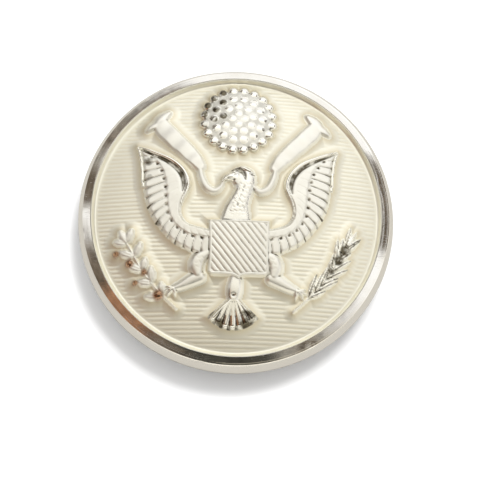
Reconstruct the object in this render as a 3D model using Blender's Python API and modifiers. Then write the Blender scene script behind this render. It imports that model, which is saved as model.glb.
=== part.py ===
"""Round screw-back cap badge: a die-struck face under a rolled rim, clamped by a thumb nut.

Metres, +Z out of the face, +Y towards the top of the emblem.  The origin is on the screw
post's axis, in the plane of the thumb nut's outer face, on which the badge lies on a table.
"""
from math import cos, pi, sin, sqrt, tau

import bmesh
import bpy

MM = 0.001

# --- driving dimensions, in millimetres --------------------------------------------------
BADGE_RADIUS = 20.0         # widest line of the rolled rim
FIT_GAP = 0.05              # clearance between pieces that touch on the real badge
RIM_SHEET = 0.50            # sheet thickness of the rolled rim
FACE_SHEET = 0.60           # sheet thickness of the struck face
DOME_RISE = 3.0             # height of the domed field, edge to centre
RELIEF = 0.90               # height of the emblem above the field
REAR_PLANE = 5.40           # the rim's rear lip, which seats on the cap cloth
POST_TIP = 0.30
THREAD_RADIUS = 2.0         # M4 x 0.7
THREAD_PITCH = 0.7
THREAD_DEPTH = 0.38
THREAD_CLEARANCE = 0.10     # radial play of the nut on the post
NUT_RADIUS = 8.0
NUT_DISC = 2.0              # thickness of the nut's knurled disc
NUT_HEIGHT = 3.25           # disc, neck and swaged lip together
PIN_OFFSET = 12.0           # the locating pins stand this far from the post
PIN_RADIUS = 0.8
PIN_TIP = 1.3

# --- levels and radii that follow from them ----------------------------------------------
RIM_TOP = REAR_PLANE + 3.05                 # sharp inner edge of the polished bevel
RIM_BORE = BADGE_RADIUS - 1.62              # radius of that edge
FIELD_RADIUS = RIM_BORE - 0.6               # where the domed field meets its edge fillet
FIELD_EDGE = RIM_TOP - 0.6
DOME_RADIUS = (FIELD_RADIUS ** 2 + DOME_RISE ** 2) / (2 * DOME_RISE)
DOME_CENTRE = FIELD_EDGE + DOME_RISE - DOME_RADIUS
BACK_REAR = REAR_PLANE + RIM_SHEET
BACK_FRONT = BACK_REAR + 0.50
STACK_REAR = BACK_FRONT + FIT_GAP           # rear face of the packing and the anchor plate
STACK_FRONT = STACK_REAR + 0.70
FLANGE_RADIUS = 18.90                       # outer edge of the face, under the bevel
LIP_BORE = 17.20                            # inner edge of the rim's rear lip
FLANGE_REAR = STACK_FRONT + FIT_GAP
POST_RADIUS = THREAD_RADIUS + 0.10          # plain shank above the thread
POST_HOLE = POST_RADIUS + FIT_GAP
SHANK_END = REAR_PLANE - 0.35
PIN_HOLE = PIN_RADIUS + FIT_GAP

RIM_STEPS = 72              # facets round the rim and the face
AXIS_STEPS = 36             # facets round the pieces on the post
PIN_STEPS = 18
THREAD_STEPS = 18           # facets in one turn of the thread
KNURL_TEETH = 40

# --- colours: base colour, metallic, roughness --------------------------------------------
FINISHES = {
    "satin_silver": ((0.78, 0.74, 0.60), 1.0, 0.38),
    "mirror_silver": ((0.80, 0.78, 0.73), 1.0, 0.08),
    "grey_card": ((0.30, 0.24, 0.17), 0.0, 0.90),
    "bare_steel": ((0.42, 0.42, 0.42), 1.0, 0.40),
    "yellow_brass": ((0.72, 0.52, 0.24), 1.0, 0.25),
    "nickel": ((0.62, 0.60, 0.56), 1.0, 0.30),
    "soft_solder": ((0.45, 0.46, 0.48), 1.0, 0.50),
}


def clear_scene():
    """Remove every object, so that the script can be run again."""
    for old in list(bpy.data.objects):
        bpy.data.objects.remove(old, do_unlink=True)


def new_collection(name):
    collection = bpy.data.collections.new(name)
    bpy.context.scene.collection.children.link(collection)
    return collection


def finish_material(name):
    """Return the named finish as a Principled material."""
    material = bpy.data.materials.get(name)
    if material:
        return material
    colour, metallic, roughness = FINISHES[name]
    material = bpy.data.materials.new(name)
    material.use_nodes = True
    shader = material.node_tree.nodes["Principled BSDF"]
    shader.inputs["Base Color"].default_value = (*colour, 1.0)
    shader.inputs["Metallic"].default_value = metallic
    shader.inputs["Roughness"].default_value = roughness
    material.diffuse_color = (*colour, 1.0)
    return material


def add_object(name, data, collection, finish=None):
    obj = bpy.data.objects.new(name, data)
    collection.objects.link(obj)
    if finish:
        data.materials.append(finish_material(finish).copy())
    return obj


def mark_cutter(obj):
    obj.hide_render = True
    obj.display_type = "WIRE"
    return obj


def turned(name, section, collection, finish=None, closed=True, steps=AXIS_STEPS):
    """Turn a section of (radius, z) points in millimetres about the Z axis.

    The section runs out along the top, down the outer side and back in along the bottom.
    An open one starts and ends on the axis.
    """
    mesh = bpy.data.meshes.new(name)
    verts = [(r * MM, 0.0, z * MM) for r, z in section]
    edges = [(i, i + 1) for i in range(len(verts) - 1)]
    if closed:
        edges.append((len(verts) - 1, 0))
    mesh.from_pydata(verts, edges, [])
    obj = add_object(name, mesh, collection, finish)
    screw = obj.modifiers.new("turn", "SCREW")
    screw.axis = "Z"
    screw.angle = tau
    screw.steps = steps
    screw.render_steps = steps
    screw.use_merge_vertices = True
    screw.merge_threshold = 1e-6
    screw.use_smooth_shade = False
    return obj


def bake(obj):
    """Replace an object by a plain mesh of what its modifiers or its curve make."""
    graph = bpy.context.evaluated_depsgraph_get()
    graph.update()
    mesh = bpy.data.meshes.new_from_object(obj.evaluated_get(graph))
    work = bmesh.new()
    work.from_mesh(mesh)
    bmesh.ops.remove_doubles(work, verts=work.verts, dist=1e-6)
    bmesh.ops.recalc_face_normals(work, faces=work.faces)
    work.to_mesh(mesh)
    work.free()
    name, matrix, collection = obj.name, obj.matrix_world.copy(), obj.users_collection[0]
    bpy.data.objects.remove(obj, do_unlink=True)
    mesh.name = name
    baked = add_object(name, mesh, collection)
    baked.matrix_world = matrix
    return baked


def boolean(obj, cutter, operation):
    """Add an exact Boolean with the cutter, which is marked as one."""
    mark_cutter(cutter)
    modifier = obj.modifiers.new(operation.lower() + "_" + cutter.name, "BOOLEAN")
    modifier.operation = operation
    modifier.solver = "EXACT"
    modifier.object = cutter
    return obj


def ball_line(radius, start, end, steps):
    """Points on the field's sphere, offset to the given radius, from start to end radius."""
    points = []
    for i in range(steps + 1):
        r = start + (end - start) * i / steps
        points.append((r, DOME_CENTRE + sqrt(radius ** 2 - r ** 2)))
    return points


# --- rim, back and packing ------------------------------------------------------------------
def bezel_ring(parts):
    """The rolled rim: polished bevel, rounded skirt and a flat rear lip."""
    crease = (BADGE_RADIUS - 0.61, RIM_TOP - 0.475)
    equator = REAR_PLANE + 0.90
    section = [
        (RIM_BORE, RIM_TOP),
        (RIM_BORE + 0.52, RIM_TOP - 0.19),
        crease,
        (BADGE_RADIUS - 0.19, equator + 1.00),
        (BADGE_RADIUS, equator),
        (BADGE_RADIUS - 0.16, equator - 0.55),
        (BADGE_RADIUS - 0.70, REAR_PLANE),
        (LIP_BORE, REAR_PLANE),
        (LIP_BORE, REAR_PLANE + RIM_SHEET - FIT_GAP),
        (FLANGE_RADIUS + 0.35, REAR_PLANE + RIM_SHEET - FIT_GAP),
        (BADGE_RADIUS - RIM_SHEET, equator),
        (FLANGE_RADIUS + 0.35, equator + 1.05),
        (FLANGE_RADIUS + 0.05, RIM_TOP - 0.82),
        (RIM_BORE, RIM_TOP - 0.55),
    ]
    return turned("bezel_ring", section, parts, "mirror_silver", steps=RIM_STEPS)


def back_plate(parts, cutters):
    """The flat back, with a hole for the post and one for each locating pin."""
    section = [(POST_HOLE, BACK_FRONT), (19.15, BACK_FRONT), (19.15, BACK_REAR), (POST_HOLE, BACK_REAR)]
    plate = turned("back_plate", section, parts, "nickel")
    over, under = BACK_FRONT + 1, BACK_REAR - 1
    drill_section = [(0.0, over), (PIN_HOLE, over), (PIN_HOLE, under), (0.0, under)]
    for side, offset in (("left", -PIN_OFFSET), ("right", PIN_OFFSET)):
        drill = turned("drill_" + side, drill_section, cutters, closed=False, steps=PIN_STEPS)
        drill.location.x = offset * MM
        boolean(plate, drill, "DIFFERENCE")
    return plate


def packing_disc(parts):
    section = [(8.3, STACK_FRONT), (18.8, STACK_FRONT), (18.8, STACK_REAR), (8.3, STACK_REAR)]
    return turned("packing_disc", section, parts, "grey_card")


def anchor_plate(parts):
    """The steel disc that spreads the post's pull over the back plate."""
    section = [
        (POST_HOLE, STACK_FRONT),
        (7.8, STACK_FRONT),
        (8.0, STACK_FRONT - 0.2),
        (8.0, STACK_REAR),
        (POST_HOLE, STACK_REAR),
    ]
    return turned("anchor_plate", section, parts, "bare_steel")


# --- emblem -----------------------------------------------------------------------------------
def smooth_outline(name, points, corners, collection):
    """Return a flat Bezier outline as a prism right through the face, points in millimetres."""
    curve = bpy.data.curves.new(name, "CURVE")
    curve.dimensions = "2D"
    curve.fill_mode = "BOTH"
    curve.resolution_u = 2
    curve.extrude = 4.0 * MM
    spline = curve.splines.new("BEZIER")
    spline.bezier_points.add(len(points) - 1)
    spline.use_cyclic_u = True
    for index, (x, y) in enumerate(points):
        knot = spline.bezier_points[index]
        kind = "VECTOR" if index in corners else "AUTO"
        knot.co = (x * MM, y * MM, 0.0)
        knot.handle_left_type = kind
        knot.handle_right_type = kind
    obj = add_object(name, curve, collection)
    obj.location.z = (FIELD_EDGE + 2.0) * MM
    return bake(obj)


def band(points):
    """Outline of a strip: each point is (x, y, half width) on its centre line."""
    left, right = [], []
    for index, (x, y, half) in enumerate(points):
        before = points[max(index - 1, 0)]
        after = points[min(index + 1, len(points) - 1)]
        dx, dy = after[0] - before[0], after[1] - before[1]
        length = sqrt(dx * dx + dy * dy)
        left.append((x - dy / length * half, y + dx / length * half))
        right.append((x + dy / length * half, y - dx / length * half))
    return left + right[::-1]


def both_sides(points):
    """Close a left-hand outline, which starts and ends near the axis, with its mirror image."""
    return points + [(-x, y) for x, y in reversed(points)]


def rosette_outline(centre, radius, lobes, swell):
    points = []
    for i in range(lobes * 2):
        angle = pi * i / lobes
        reach = radius + (swell if i % 2 else 0.0)
        points.append((reach * sin(angle), centre + reach * cos(angle)))
    return points


WINGS_AND_BODY = [
    (-0.8, 1.2), (-3.0, 0.1), (-4.8, 0.4), (-5.9, 1.5), (-6.1, 3.2), (-7.2, 5.4), (-9.6, 7.2), (-12.5, 8.6),
    (-12.1, 5.0), (-11.7, 1.4), (-10.6, -1.2), (-8.9, -3.5), (-6.4, -5.4), (-3.5, -6.1),
]
WING_TIPS = (7, 20)
NECK_AND_HEAD = [
    (-1.5, 0.3), (-1.1, 2.2), (-1.0, 3.1), (-1.9, 3.3), (-1.6, 4.2), (-0.2, 4.95), (1.2, 4.0), (1.8, 1.8),
    (2.2, 0.3),
]
HEAD_CORNERS = (0, 2, 3, 8)
SHIELD = [(-3.8, -1.3), (-3.9, -7.2), (-3.6, -8.3), (-1.6, -8.7), (0.0, -9.3)]
TAIL = [(-0.9, -8.6), (-0.7, -10.9), (-3.7, -13.7), (-2.8, -14.9), (-0.6, -15.5)]
LEG = [(-3.4, -6.6, 0.7), (-4.5, -7.4, 1.0), (-4.7, -8.5, 0.8), (-6.4, -9.4, 0.45), (-8.8, -10.4, 0.55)]
RIBBON = [
    (-1.9, 3.3, 0.5), (-2.8, 2.5, 0.6), (-3.8, 2.9, 0.7), (-4.4, 4.4, 0.9), (-4.9, 6.0, 1.1), (-6.9, 8.2, 1.2),
    (-9.0, 10.4, 1.4), (-9.6, 12.8, 1.3),
]
SPRIG = [(-7.6, -12.4, 0.5), (-9.6, -10.8, 1.1), (-12.3, -7.9, 1.6), (-13.9, -5.2, 1.4), (-14.8, -2.6, 0.3)]
FROND = [(7.0, -12.8, 0.9), (9.6, -9.8, 0.9), (12.6, -6.2, 1.1), (13.9, -4.4, 1.7), (15.2, -2.6, 0.3)]


def mirrored(points):
    return [(-x, y, half) for x, y, half in points]


def emblem(cutters):
    """The raised device: a displayed eagle with a plain shield, ribbons, a sprig and a palm frond."""
    shapes = [
        ("wings", both_sides(WINGS_AND_BODY), WING_TIPS),
        ("head", NECK_AND_HEAD, HEAD_CORNERS),
        ("shield", both_sides(SHIELD), (0, 4, 5, 9)),
        ("tail", both_sides(TAIL), (0, 1, 8, 9)),
        ("rosette", rosette_outline(12.2, 4.7, 18, 0.25), ()),
        ("sprig", band(SPRIG), ()),
        ("frond", band(FROND), ()),
    ]
    for side, mirror in (("left", list), ("right", mirrored)):
        shapes.append(("leg_" + side, band(mirror(LEG)), ()))
        shapes.append(("ribbon_" + side, band(mirror(RIBBON)), ()))
    device = None
    for name, points, corners in shapes:
        prism = mark_cutter(smooth_outline(name, points, corners, cutters))
        if device is None:
            device = prism
        else:
            boolean(device, prism, "UNION")
    top = ball_line(DOME_RADIUS + RELIEF, 0.0, FIELD_RADIUS - 0.3, 5)
    bottom = ball_line(DOME_RADIUS - FACE_SHEET / 2, FIELD_RADIUS - 0.3, 0.0, 2)
    slab = turned("relief_slab", top + bottom, cutters, closed=False, steps=AXIS_STEPS)
    return boolean(device, slab, "INTERSECT")


def face_plate(parts, cutters):
    """The die-struck face: domed field, upturned edge fillet, hidden flange and emblem."""
    outer = ball_line(DOME_RADIUS, 0.0, FIELD_RADIUS - 0.05, 5)
    edge = RIM_BORE - FIT_GAP
    fillet = [
        (FIELD_RADIUS + 0.22, FIELD_EDGE + 0.10),
        (FIELD_RADIUS + 0.42, FIELD_EDGE + 0.30),
        (edge, RIM_TOP - 0.06),
        (edge, RIM_TOP - 0.61),
        (FLANGE_RADIUS, RIM_TOP - 0.88),
        (FLANGE_RADIUS, FLANGE_REAR),
        (FIELD_RADIUS - 0.2, FLANGE_REAR),
    ]
    inner = ball_line(DOME_RADIUS - FACE_SHEET, FIELD_RADIUS - 0.45, 0.0, 5)
    plate = turned("face_plate", outer + fillet + inner, parts, "satin_silver", closed=False, steps=RIM_STEPS)
    return boolean(plate, emblem(cutters), "UNION")


# --- post, pins and solder ------------------------------------------------------------------
def helical_rod(name, growth, low, high, collection):
    """A rod with the thread's form, larger by growth, that runs past low and high.

    Point s, k is knot k of the thread's section, s facets along the helix.  Knot 4 is knot 0
    of the next turn.  Each end is closed by a fan from a point on the axis.
    """
    root = THREAD_RADIUS - THREAD_DEPTH + growth
    crest = THREAD_RADIUS + growth
    knots = [(0.0, root), (0.25, root), (0.5625, crest), (0.6875, crest)]
    first_turn = int(low / THREAD_PITCH) - 2
    turns = int(high / THREAD_PITCH) + 2 - first_turn
    steps = turns * THREAD_STEPS
    work = bmesh.new()
    rows = []
    for s in range(steps + THREAD_STEPS + 1):
        angle = tau * s / THREAD_STEPS
        start = (first_turn + s / THREAD_STEPS) * THREAD_PITCH
        row = []
        for rise, radius in knots:
            height = (start + rise * THREAD_PITCH) * MM
            row.append(work.verts.new((radius * cos(angle) * MM, radius * sin(angle) * MM, height)))
        rows.append(row)

    def point(s, k):
        return rows[s + THREAD_STEPS][0] if k == 4 else rows[s][k]

    for s in range(steps):
        for k in range(4):
            work.faces.new((point(s, k), point(s + 1, k), point(s + 1, k + 1), point(s, k + 1)))
    bottom = [rows[s][0] for s in range(THREAD_STEPS + 1)] + [rows[0][k] for k in (3, 2, 1)]
    top = [point(s, 4) for s in range(steps - THREAD_STEPS, steps + 1)] + [rows[steps][k] for k in (3, 2, 1)]
    for loop, level in ((bottom[::-1], rows[0][0].co.z), (top, rows[steps + THREAD_STEPS][0].co.z)):
        hub = work.verts.new((0.0, 0.0, level))
        for a, b in zip(loop, loop[1:] + loop[:1]):
            work.faces.new((a, b, hub))
    loose = [v for v in work.verts if not v.link_faces]
    bmesh.ops.delete(work, geom=loose, context="VERTS")
    bmesh.ops.recalc_face_normals(work, faces=work.faces)
    mesh = bpy.data.meshes.new(name)
    work.to_mesh(mesh)
    work.free()
    return add_object(name, mesh, collection)


def screw_post(parts, cutters):
    """The threaded post, with the flanged head that the anchor plate holds."""
    head_rear = STACK_FRONT + FIT_GAP
    section = [
        (0.0, head_rear + 0.8),
        (4.2, head_rear + 0.8),
        (4.5, head_rear + 0.5),
        (4.5, head_rear),
        (POST_RADIUS, head_rear),
        (POST_RADIUS, SHANK_END),
        (0.0, SHANK_END),
    ]
    post = turned("screw_post", section, parts, "yellow_brass", closed=False)
    trim = turned(
        "post_trim",
        [(0.0, SHANK_END + 0.3), (3.0, SHANK_END + 0.3), (3.0, POST_TIP + 1.55), (1.45, POST_TIP), (0.0, POST_TIP)],
        cutters,
        closed=False,
    )
    thread = helical_rod("post_thread", 0.0, POST_TIP, SHANK_END, cutters)
    boolean(thread, trim, "INTERSECT")
    return boolean(post, thread, "UNION")


def solder_ring(name, bore, reach, rise, offset, steps, parts):
    """A fillet of solder between the back plate and a post or pin."""
    top = BACK_REAR - FIT_GAP
    section = [
        (bore, top),
        (bore + reach, top),
        (bore + reach, top - 0.10),
        (bore + reach * 0.45, top - rise * 0.45),
        (bore + 0.12, top - rise),
        (bore, top - rise),
    ]
    ring = turned(name, section, parts, "soft_solder", steps=steps)
    ring.location.x = offset * MM
    return ring


def locating_pin(side, offset, parts):
    """A pointed pin that stops the badge from turning in the cap."""
    section = [
        (0.0, BACK_FRONT - 0.02),
        (PIN_RADIUS, BACK_FRONT - 0.02),
        (PIN_RADIUS, PIN_TIP + 1.3),
        (PIN_RADIUS * 0.75, PIN_TIP + 0.5),
        (PIN_RADIUS * 0.3, PIN_TIP),
        (0.0, PIN_TIP),
    ]
    pin = turned("locating_pin_" + side, section, parts, "yellow_brass", closed=False, steps=PIN_STEPS)
    pin.location.x = offset * MM
    return pin


# --- clamp ------------------------------------------------------------------------------------
def cup_washer(parts):
    """The dished washer, captive on the nut's neck, whose rim presses the cloth."""
    section = [
        (3.45, 2.70), (4.30, 2.70), (6.00, 3.60), (6.80, 3.85), (7.50, 3.85),
        (7.50, 3.35), (6.90, 3.35), (6.20, 3.12), (4.45, 2.20), (3.45, 2.20),
    ]
    return turned("cup_washer", section, parts, "yellow_brass")


def thumb_nut(parts, cutters):
    """The knurled nut: a disc, a neck and the lip that is swaged over the washer."""
    section = [
        (0.0, NUT_HEIGHT), (3.65, NUT_HEIGHT), (3.80, NUT_HEIGHT - 0.15), (3.80, NUT_HEIGHT - 0.30),
        (3.30, NUT_HEIGHT - 0.30), (3.30, NUT_DISC), (7.50, NUT_DISC), (8.30, NUT_DISC - 0.55), (8.30, 0.55),
        (7.50, 0.0), (0.0, 0.0),
    ]
    nut = turned("thumb_nut", section, parts, "yellow_brass", closed=False)
    curve = bpy.data.curves.new("knurl", "CURVE")
    curve.dimensions = "2D"
    curve.fill_mode = "BOTH"
    curve.extrude = 5.0 * MM
    spline = curve.splines.new("POLY")
    spline.points.add(KNURL_TEETH * 2 - 1)
    spline.use_cyclic_u = True
    for i, point in enumerate(spline.points):
        angle = pi * i / KNURL_TEETH
        reach = NUT_RADIUS - 0.32 * (i % 2)
        point.co = (reach * cos(angle) * MM, reach * sin(angle) * MM, 0.0, 1.0)
    knurl = bake(add_object("knurl", curve, cutters))
    boolean(nut, knurl, "INTERSECT")
    tap = helical_rod("nut_tap", THREAD_CLEARANCE, -1.0, NUT_HEIGHT + 1.0, cutters)
    return boolean(nut, tap, "DIFFERENCE")


def main():
    clear_scene()
    parts = new_collection("cap_badge")
    cutters = new_collection("cutters")
    bezel_ring(parts)
    face_plate(parts, cutters)
    packing_disc(parts)
    anchor_plate(parts)
    back_plate(parts, cutters)
    screw_post(parts, cutters)
    solder_ring("post_solder_ring", POST_HOLE, 1.3, 0.7, 0.0, AXIS_STEPS, parts)
    for side, offset in (("left", -PIN_OFFSET), ("right", PIN_OFFSET)):
        locating_pin(side, offset, parts)
        solder_ring("pin_solder_" + side, PIN_HOLE, 0.8, 0.55, offset, PIN_STEPS, parts)
    cup_washer(parts)
    thumb_nut(parts, cutters)


main()
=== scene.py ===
"""Looks of the round screw-back cap badge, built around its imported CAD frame.

The struck face is one height field: a lined dome with the emblem's strokes raised on it.  The
rim, post, pins, solder, washer and nut are turned pieces.  Shape functions work in
millimetres, in the frame's axes, and meshes are made in metres.
"""

from math import atan2, cos, pi, radians, sin, sqrt, tau

import bpy
import numpy as np
from mathutils import Matrix, Vector
from mathutils.geometry import delaunay_2d_cdt


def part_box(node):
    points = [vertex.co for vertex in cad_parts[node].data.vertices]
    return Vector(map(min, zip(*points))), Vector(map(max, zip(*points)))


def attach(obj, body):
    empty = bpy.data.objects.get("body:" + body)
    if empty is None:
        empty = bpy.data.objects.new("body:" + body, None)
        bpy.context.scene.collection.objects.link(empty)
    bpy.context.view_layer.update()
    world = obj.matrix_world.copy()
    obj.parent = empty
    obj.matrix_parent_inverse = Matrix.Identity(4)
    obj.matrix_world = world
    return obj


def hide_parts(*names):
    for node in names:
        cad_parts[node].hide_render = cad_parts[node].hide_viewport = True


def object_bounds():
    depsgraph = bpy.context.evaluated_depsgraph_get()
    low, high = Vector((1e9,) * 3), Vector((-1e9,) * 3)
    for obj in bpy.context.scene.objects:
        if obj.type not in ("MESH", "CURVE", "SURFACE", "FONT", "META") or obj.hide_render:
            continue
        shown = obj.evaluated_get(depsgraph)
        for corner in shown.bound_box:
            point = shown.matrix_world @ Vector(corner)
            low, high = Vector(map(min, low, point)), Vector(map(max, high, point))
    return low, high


MM = 0.001

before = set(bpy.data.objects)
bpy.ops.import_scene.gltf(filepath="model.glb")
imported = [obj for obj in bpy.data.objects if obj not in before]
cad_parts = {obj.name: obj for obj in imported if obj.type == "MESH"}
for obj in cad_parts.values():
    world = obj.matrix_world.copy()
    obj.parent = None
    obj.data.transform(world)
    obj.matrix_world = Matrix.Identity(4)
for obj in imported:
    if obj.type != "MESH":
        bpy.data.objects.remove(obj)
CAD_LOW, CAD_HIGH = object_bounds()


def node_mm(name):
    """Lowest and highest corner of a CAD node, in millimetres."""
    low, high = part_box(name)
    return low / MM, high / MM


# === sizes from the frame, in millimetres ===
RIM_LOW, RIM_HIGH = node_mm("bezel_ring")
FACE_LOW, FACE_HIGH = node_mm("face_plate")
POST_LOW, POST_HIGH = node_mm("screw_post")
NUT_HIGH = node_mm("thumb_nut")[1]
WASHER_LOW, WASHER_HIGH = node_mm("cup_washer")
PIN_LOW, PIN_HIGH = node_mm("locating_pin_right")
SOLDER_LOW, SOLDER_HIGH = node_mm("post_solder_ring")
PIN_SOLDER_LOW, PIN_SOLDER_HIGH = node_mm("pin_solder_right")

BADGE_RADIUS = RIM_HIGH.x
RIM_TOP = RIM_HIGH.z  # sharp inner edge of the polished bevel
REAR_PLANE = RIM_LOW.z
RIM_BORE = BADGE_RADIUS - 1.62  # radius of that edge
CREASE_RADIUS = BADGE_RADIUS - 0.61
CREASE_DROP = 0.475  # the bevel's fall from its inner edge to the crease
EQUATOR = REAR_PLANE + 0.9  # level of the rim's widest line
FLANGE_RADIUS = FACE_HIGH.x

FIELD_RADIUS = RIM_BORE - 0.6  # where the field turns up into its edge fillet
FACE_RADIUS = RIM_BORE - 0.05  # outer edge of that fillet
FIELD_EDGE = RIM_TOP - 0.6
DOME_RISE = 3.0
DOME_RADIUS = (FIELD_RADIUS ** 2 + DOME_RISE ** 2) / (2 * DOME_RISE)
DOME_CENTRE = FIELD_EDGE + DOME_RISE - DOME_RADIUS
SHEET = 0.6  # thickness of the face

LINE_PITCH = 0.54  # of the field's raised lines
LINE_HEIGHT = 0.042
HALO = 1.1  # width of the fillet round every raised part
HALO_HEIGHT = 0.29
HALO_CURVE = 1.45  # power that hollows the fillet out
SOFT_EDGE = 0.26  # width over which a stroke's side rises
GRID_X = 0.125  # spacing of the face's vertices
GRID_Y = LINE_PITCH / 6

THREAD_RADIUS = 2.0
THREAD_PITCH = 0.7
THREAD_DEPTH = 0.38
THREAD_CLEARANCE = 0.1
FAR = 9.0  # distance given to points that nothing raised is near


# === shape helpers ===
def smoothstep(value, low, high):
    t = np.clip((value - low) / (high - low), 0.0, 1.0)
    return t * t * (3.0 - 2.0 * t)


def ridge(value, middle, width):
    """1 where the value is at the middle, falling to about a third one width away."""
    return np.exp(-((value - middle) / width) ** 2)


def smooth_path(points, steps=5):
    """Catmull-Rom samples through the points; each point may hold any number of values."""
    knots = np.array(points, float)
    padded = np.vstack([2 * knots[0] - knots[1], knots, 2 * knots[-1] - knots[-2]])
    samples = []
    for i in range(len(knots) - 1):
        p0, p1, p2, p3 = padded[i:i + 4]
        for t in np.arange(steps) / steps:
            samples.append(
                0.5 * (2 * p1 + (p2 - p0) * t + (2 * p0 - 5 * p1 + 4 * p2 - p3) * t ** 2
                       + (3 * p1 - p0 - 3 * p2 + p3) * t ** 3)
            )
    samples.append(knots[-1])
    return np.array(samples)


def even_points(path, count, start=0.0, end=1.0):
    """Points spaced evenly by length along a path of (x, y)."""
    steps = np.hypot(*np.diff(path[:, :2], axis=0).T)
    length = np.concatenate([[0.0], np.cumsum(steps)])
    wanted = np.linspace(start, end, count) * length[-1]
    return np.column_stack([np.interp(wanted, length, path[:, k]) for k in range(2)])


def spot(x, y, radius, height):
    """The shortest spine, which makes a round spot."""
    return [(x, y, radius, height), (x + 0.01, y, radius, height)]


def from_segment(x, y, start, run):
    """The points' nearest places on a segment, as shares of it, and their offsets from there."""
    from_x, from_y = x - start[0], y - start[1]
    squared = max(run[0] ** 2 + run[1] ** 2, 1e-9)
    along = np.clip((from_x * run[0] + from_y * run[1]) / squared, 0, 1)
    return along, from_x - along * run[0], from_y - along * run[1]


class Relief:
    """The emblem over points (x, y): its height, gap, polish, cuts with painted shade and dark glints, and
    painted brown glints.
    """

    def __init__(self, x, y):
        self.x, self.y = x, y
        self.gap = np.full_like(x, FAR)
        self.height, self.polish, self.cut, self.painted_brown_glint = np.zeros((4, *x.shape))

    def near(self, x, shape, reach):
        """The points within reach of the box round a shape, as an index."""
        low, high = np.min(shape, 0) - reach, np.max(shape, 0) + reach
        inside = (x > low[0]) & (x < high[0]) & (self.y > low[1]) & (self.y < high[1])
        return np.nonzero(inside)[0]

    def raise_to(self, index, value, gap, polish):
        """Raise points to a value where it is higher, with its polish and no cut."""
        higher = value > self.height[index]
        self.polish[index] = np.where(higher, polish, self.polish[index])
        self.cut[index] = np.where(higher, 0.0, self.cut[index])
        self.height[index] = np.maximum(self.height[index], value)
        self.gap[index] = np.minimum(self.gap[index], gap)

    def measure(self, spine, both):
        """Distances from a spine of (x, y, half width, height), for the points near it.

        Returns their index, the gap to the strip's edge, the distance in half widths, the same
        with a sign for the side, and the height; both also takes the strip's mirror image.
        """
        x = np.abs(self.x) if both else self.x
        spine = np.array(spine, float)
        index = self.near(x, spine, spine[:, 2].max() + HALO)
        x, y = x[index], self.y[index]
        gap, ratio = np.full((2, len(index)), FAR)
        side, height = np.zeros((2, len(index)))
        for start, run in zip(spine, np.diff(spine, axis=0)):
            along, off_x, off_y = from_segment(x, y, start, run)
            off = np.hypot(off_x, off_y)
            half = start[2] + along * run[2]
            closer = off - half < gap
            gap = np.where(closer, off - half, gap)
            ratio = np.where(closer, off / half, ratio)
            side = np.where(closer, np.sign(run[0] * off_y - run[1] * off_x) * off / half, side)
            height = np.where(closer, start[3] + along * run[3], height)
        return index, gap, ratio, side, height

    def stroke(self, spine, flat=0.5, tilt=0.0, both=False, polish=0.6, edge=SOFT_EDGE, border=0.0):
        """Raise a strip along a spine of (x, y, half width, height).

        flat is the share of the height that stands at the edges, tilt leans the strip's top to
        one side, edge is the width of its sides, and border raises a line along each of them.
        """
        index, gap, ratio, side, height = self.measure(spine, both)
        rise = smoothstep(-gap, 0.0, edge)
        crown = flat + (1 - flat) * (1 - np.minimum(ratio, 1) ** 2)
        value = height * rise * crown * (1 + tilt * side)
        if border:
            value += border * ridge(ratio, 0.8, 0.09)
        self.raise_to(index, value, gap, polish)

    def engrave(self, spines, both=False):
        """Cut a soft groove along each spine of (x, y, half width, depth)."""
        cut = np.zeros_like(self.x)
        for spine in spines:
            index, _, ratio, _, depth = self.measure(spine, both)
            cut[index] = np.maximum(cut[index], depth * np.exp(-ratio ** 2))
        self.height -= cut
        self.cut = np.maximum(self.cut, cut)

    def plateau(self, outline, height, both=False, polish=0.3, edge=0.25):
        """Raise the inside of a closed outline of (x, y) to a level top with soft sides."""
        x = np.abs(self.x) if both else self.x
        outline = np.array(outline, float)
        index = self.near(x, outline, HALO)
        x, y = x[index], self.y[index]
        away, inside = np.full(len(index), FAR), np.zeros(len(index), bool)
        for start, end in zip(outline, np.roll(outline, -1, 0)):
            run = end - start
            away = np.minimum(away, np.hypot(*from_segment(x, y, start, run)[1:]))
            if run[1]:
                crosses = (start[1] > y) != (end[1] > y)
                inside ^= crosses & (x < start[0] + (y - start[1]) / run[1] * run[0])
        gap = np.where(inside, -away, away)
        self.raise_to(index, height * smoothstep(-gap, 0.0, edge), gap, polish)


# === mesh helpers ===
def add_object(name, data):
    made = bpy.data.objects.new(name, data)
    bpy.context.scene.collection.objects.link(made)
    return made


def mesh_object(name, verts, faces):
    """A smooth-shaded object from vertices in millimetres."""
    mesh = bpy.data.meshes.new(name)
    mesh.from_pydata((np.asarray(verts) * MM).tolist(), [], faces)
    mesh.shade_smooth()
    return add_object(name, mesh)


def ring_points(radius, count):
    angle = np.arange(count) / count * tau
    return np.column_stack([radius * np.cos(angle), radius * np.sin(angle)])


def bridge(first, second):
    """Faces between two closed loops of as many vertices."""
    return [(first[i - 1], second[i - 1], second[i], first[i]) for i in range(len(first))]


def cap(loop, middle):
    """Faces from a closed loop of vertices to the vertex in its middle."""
    return [(middle, loop[i - 1], loop[i]) for i in range(len(loop))]


# === the emblem ===
TOP = 0.58  # height of the wings' bands, neck and head over the halo

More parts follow.
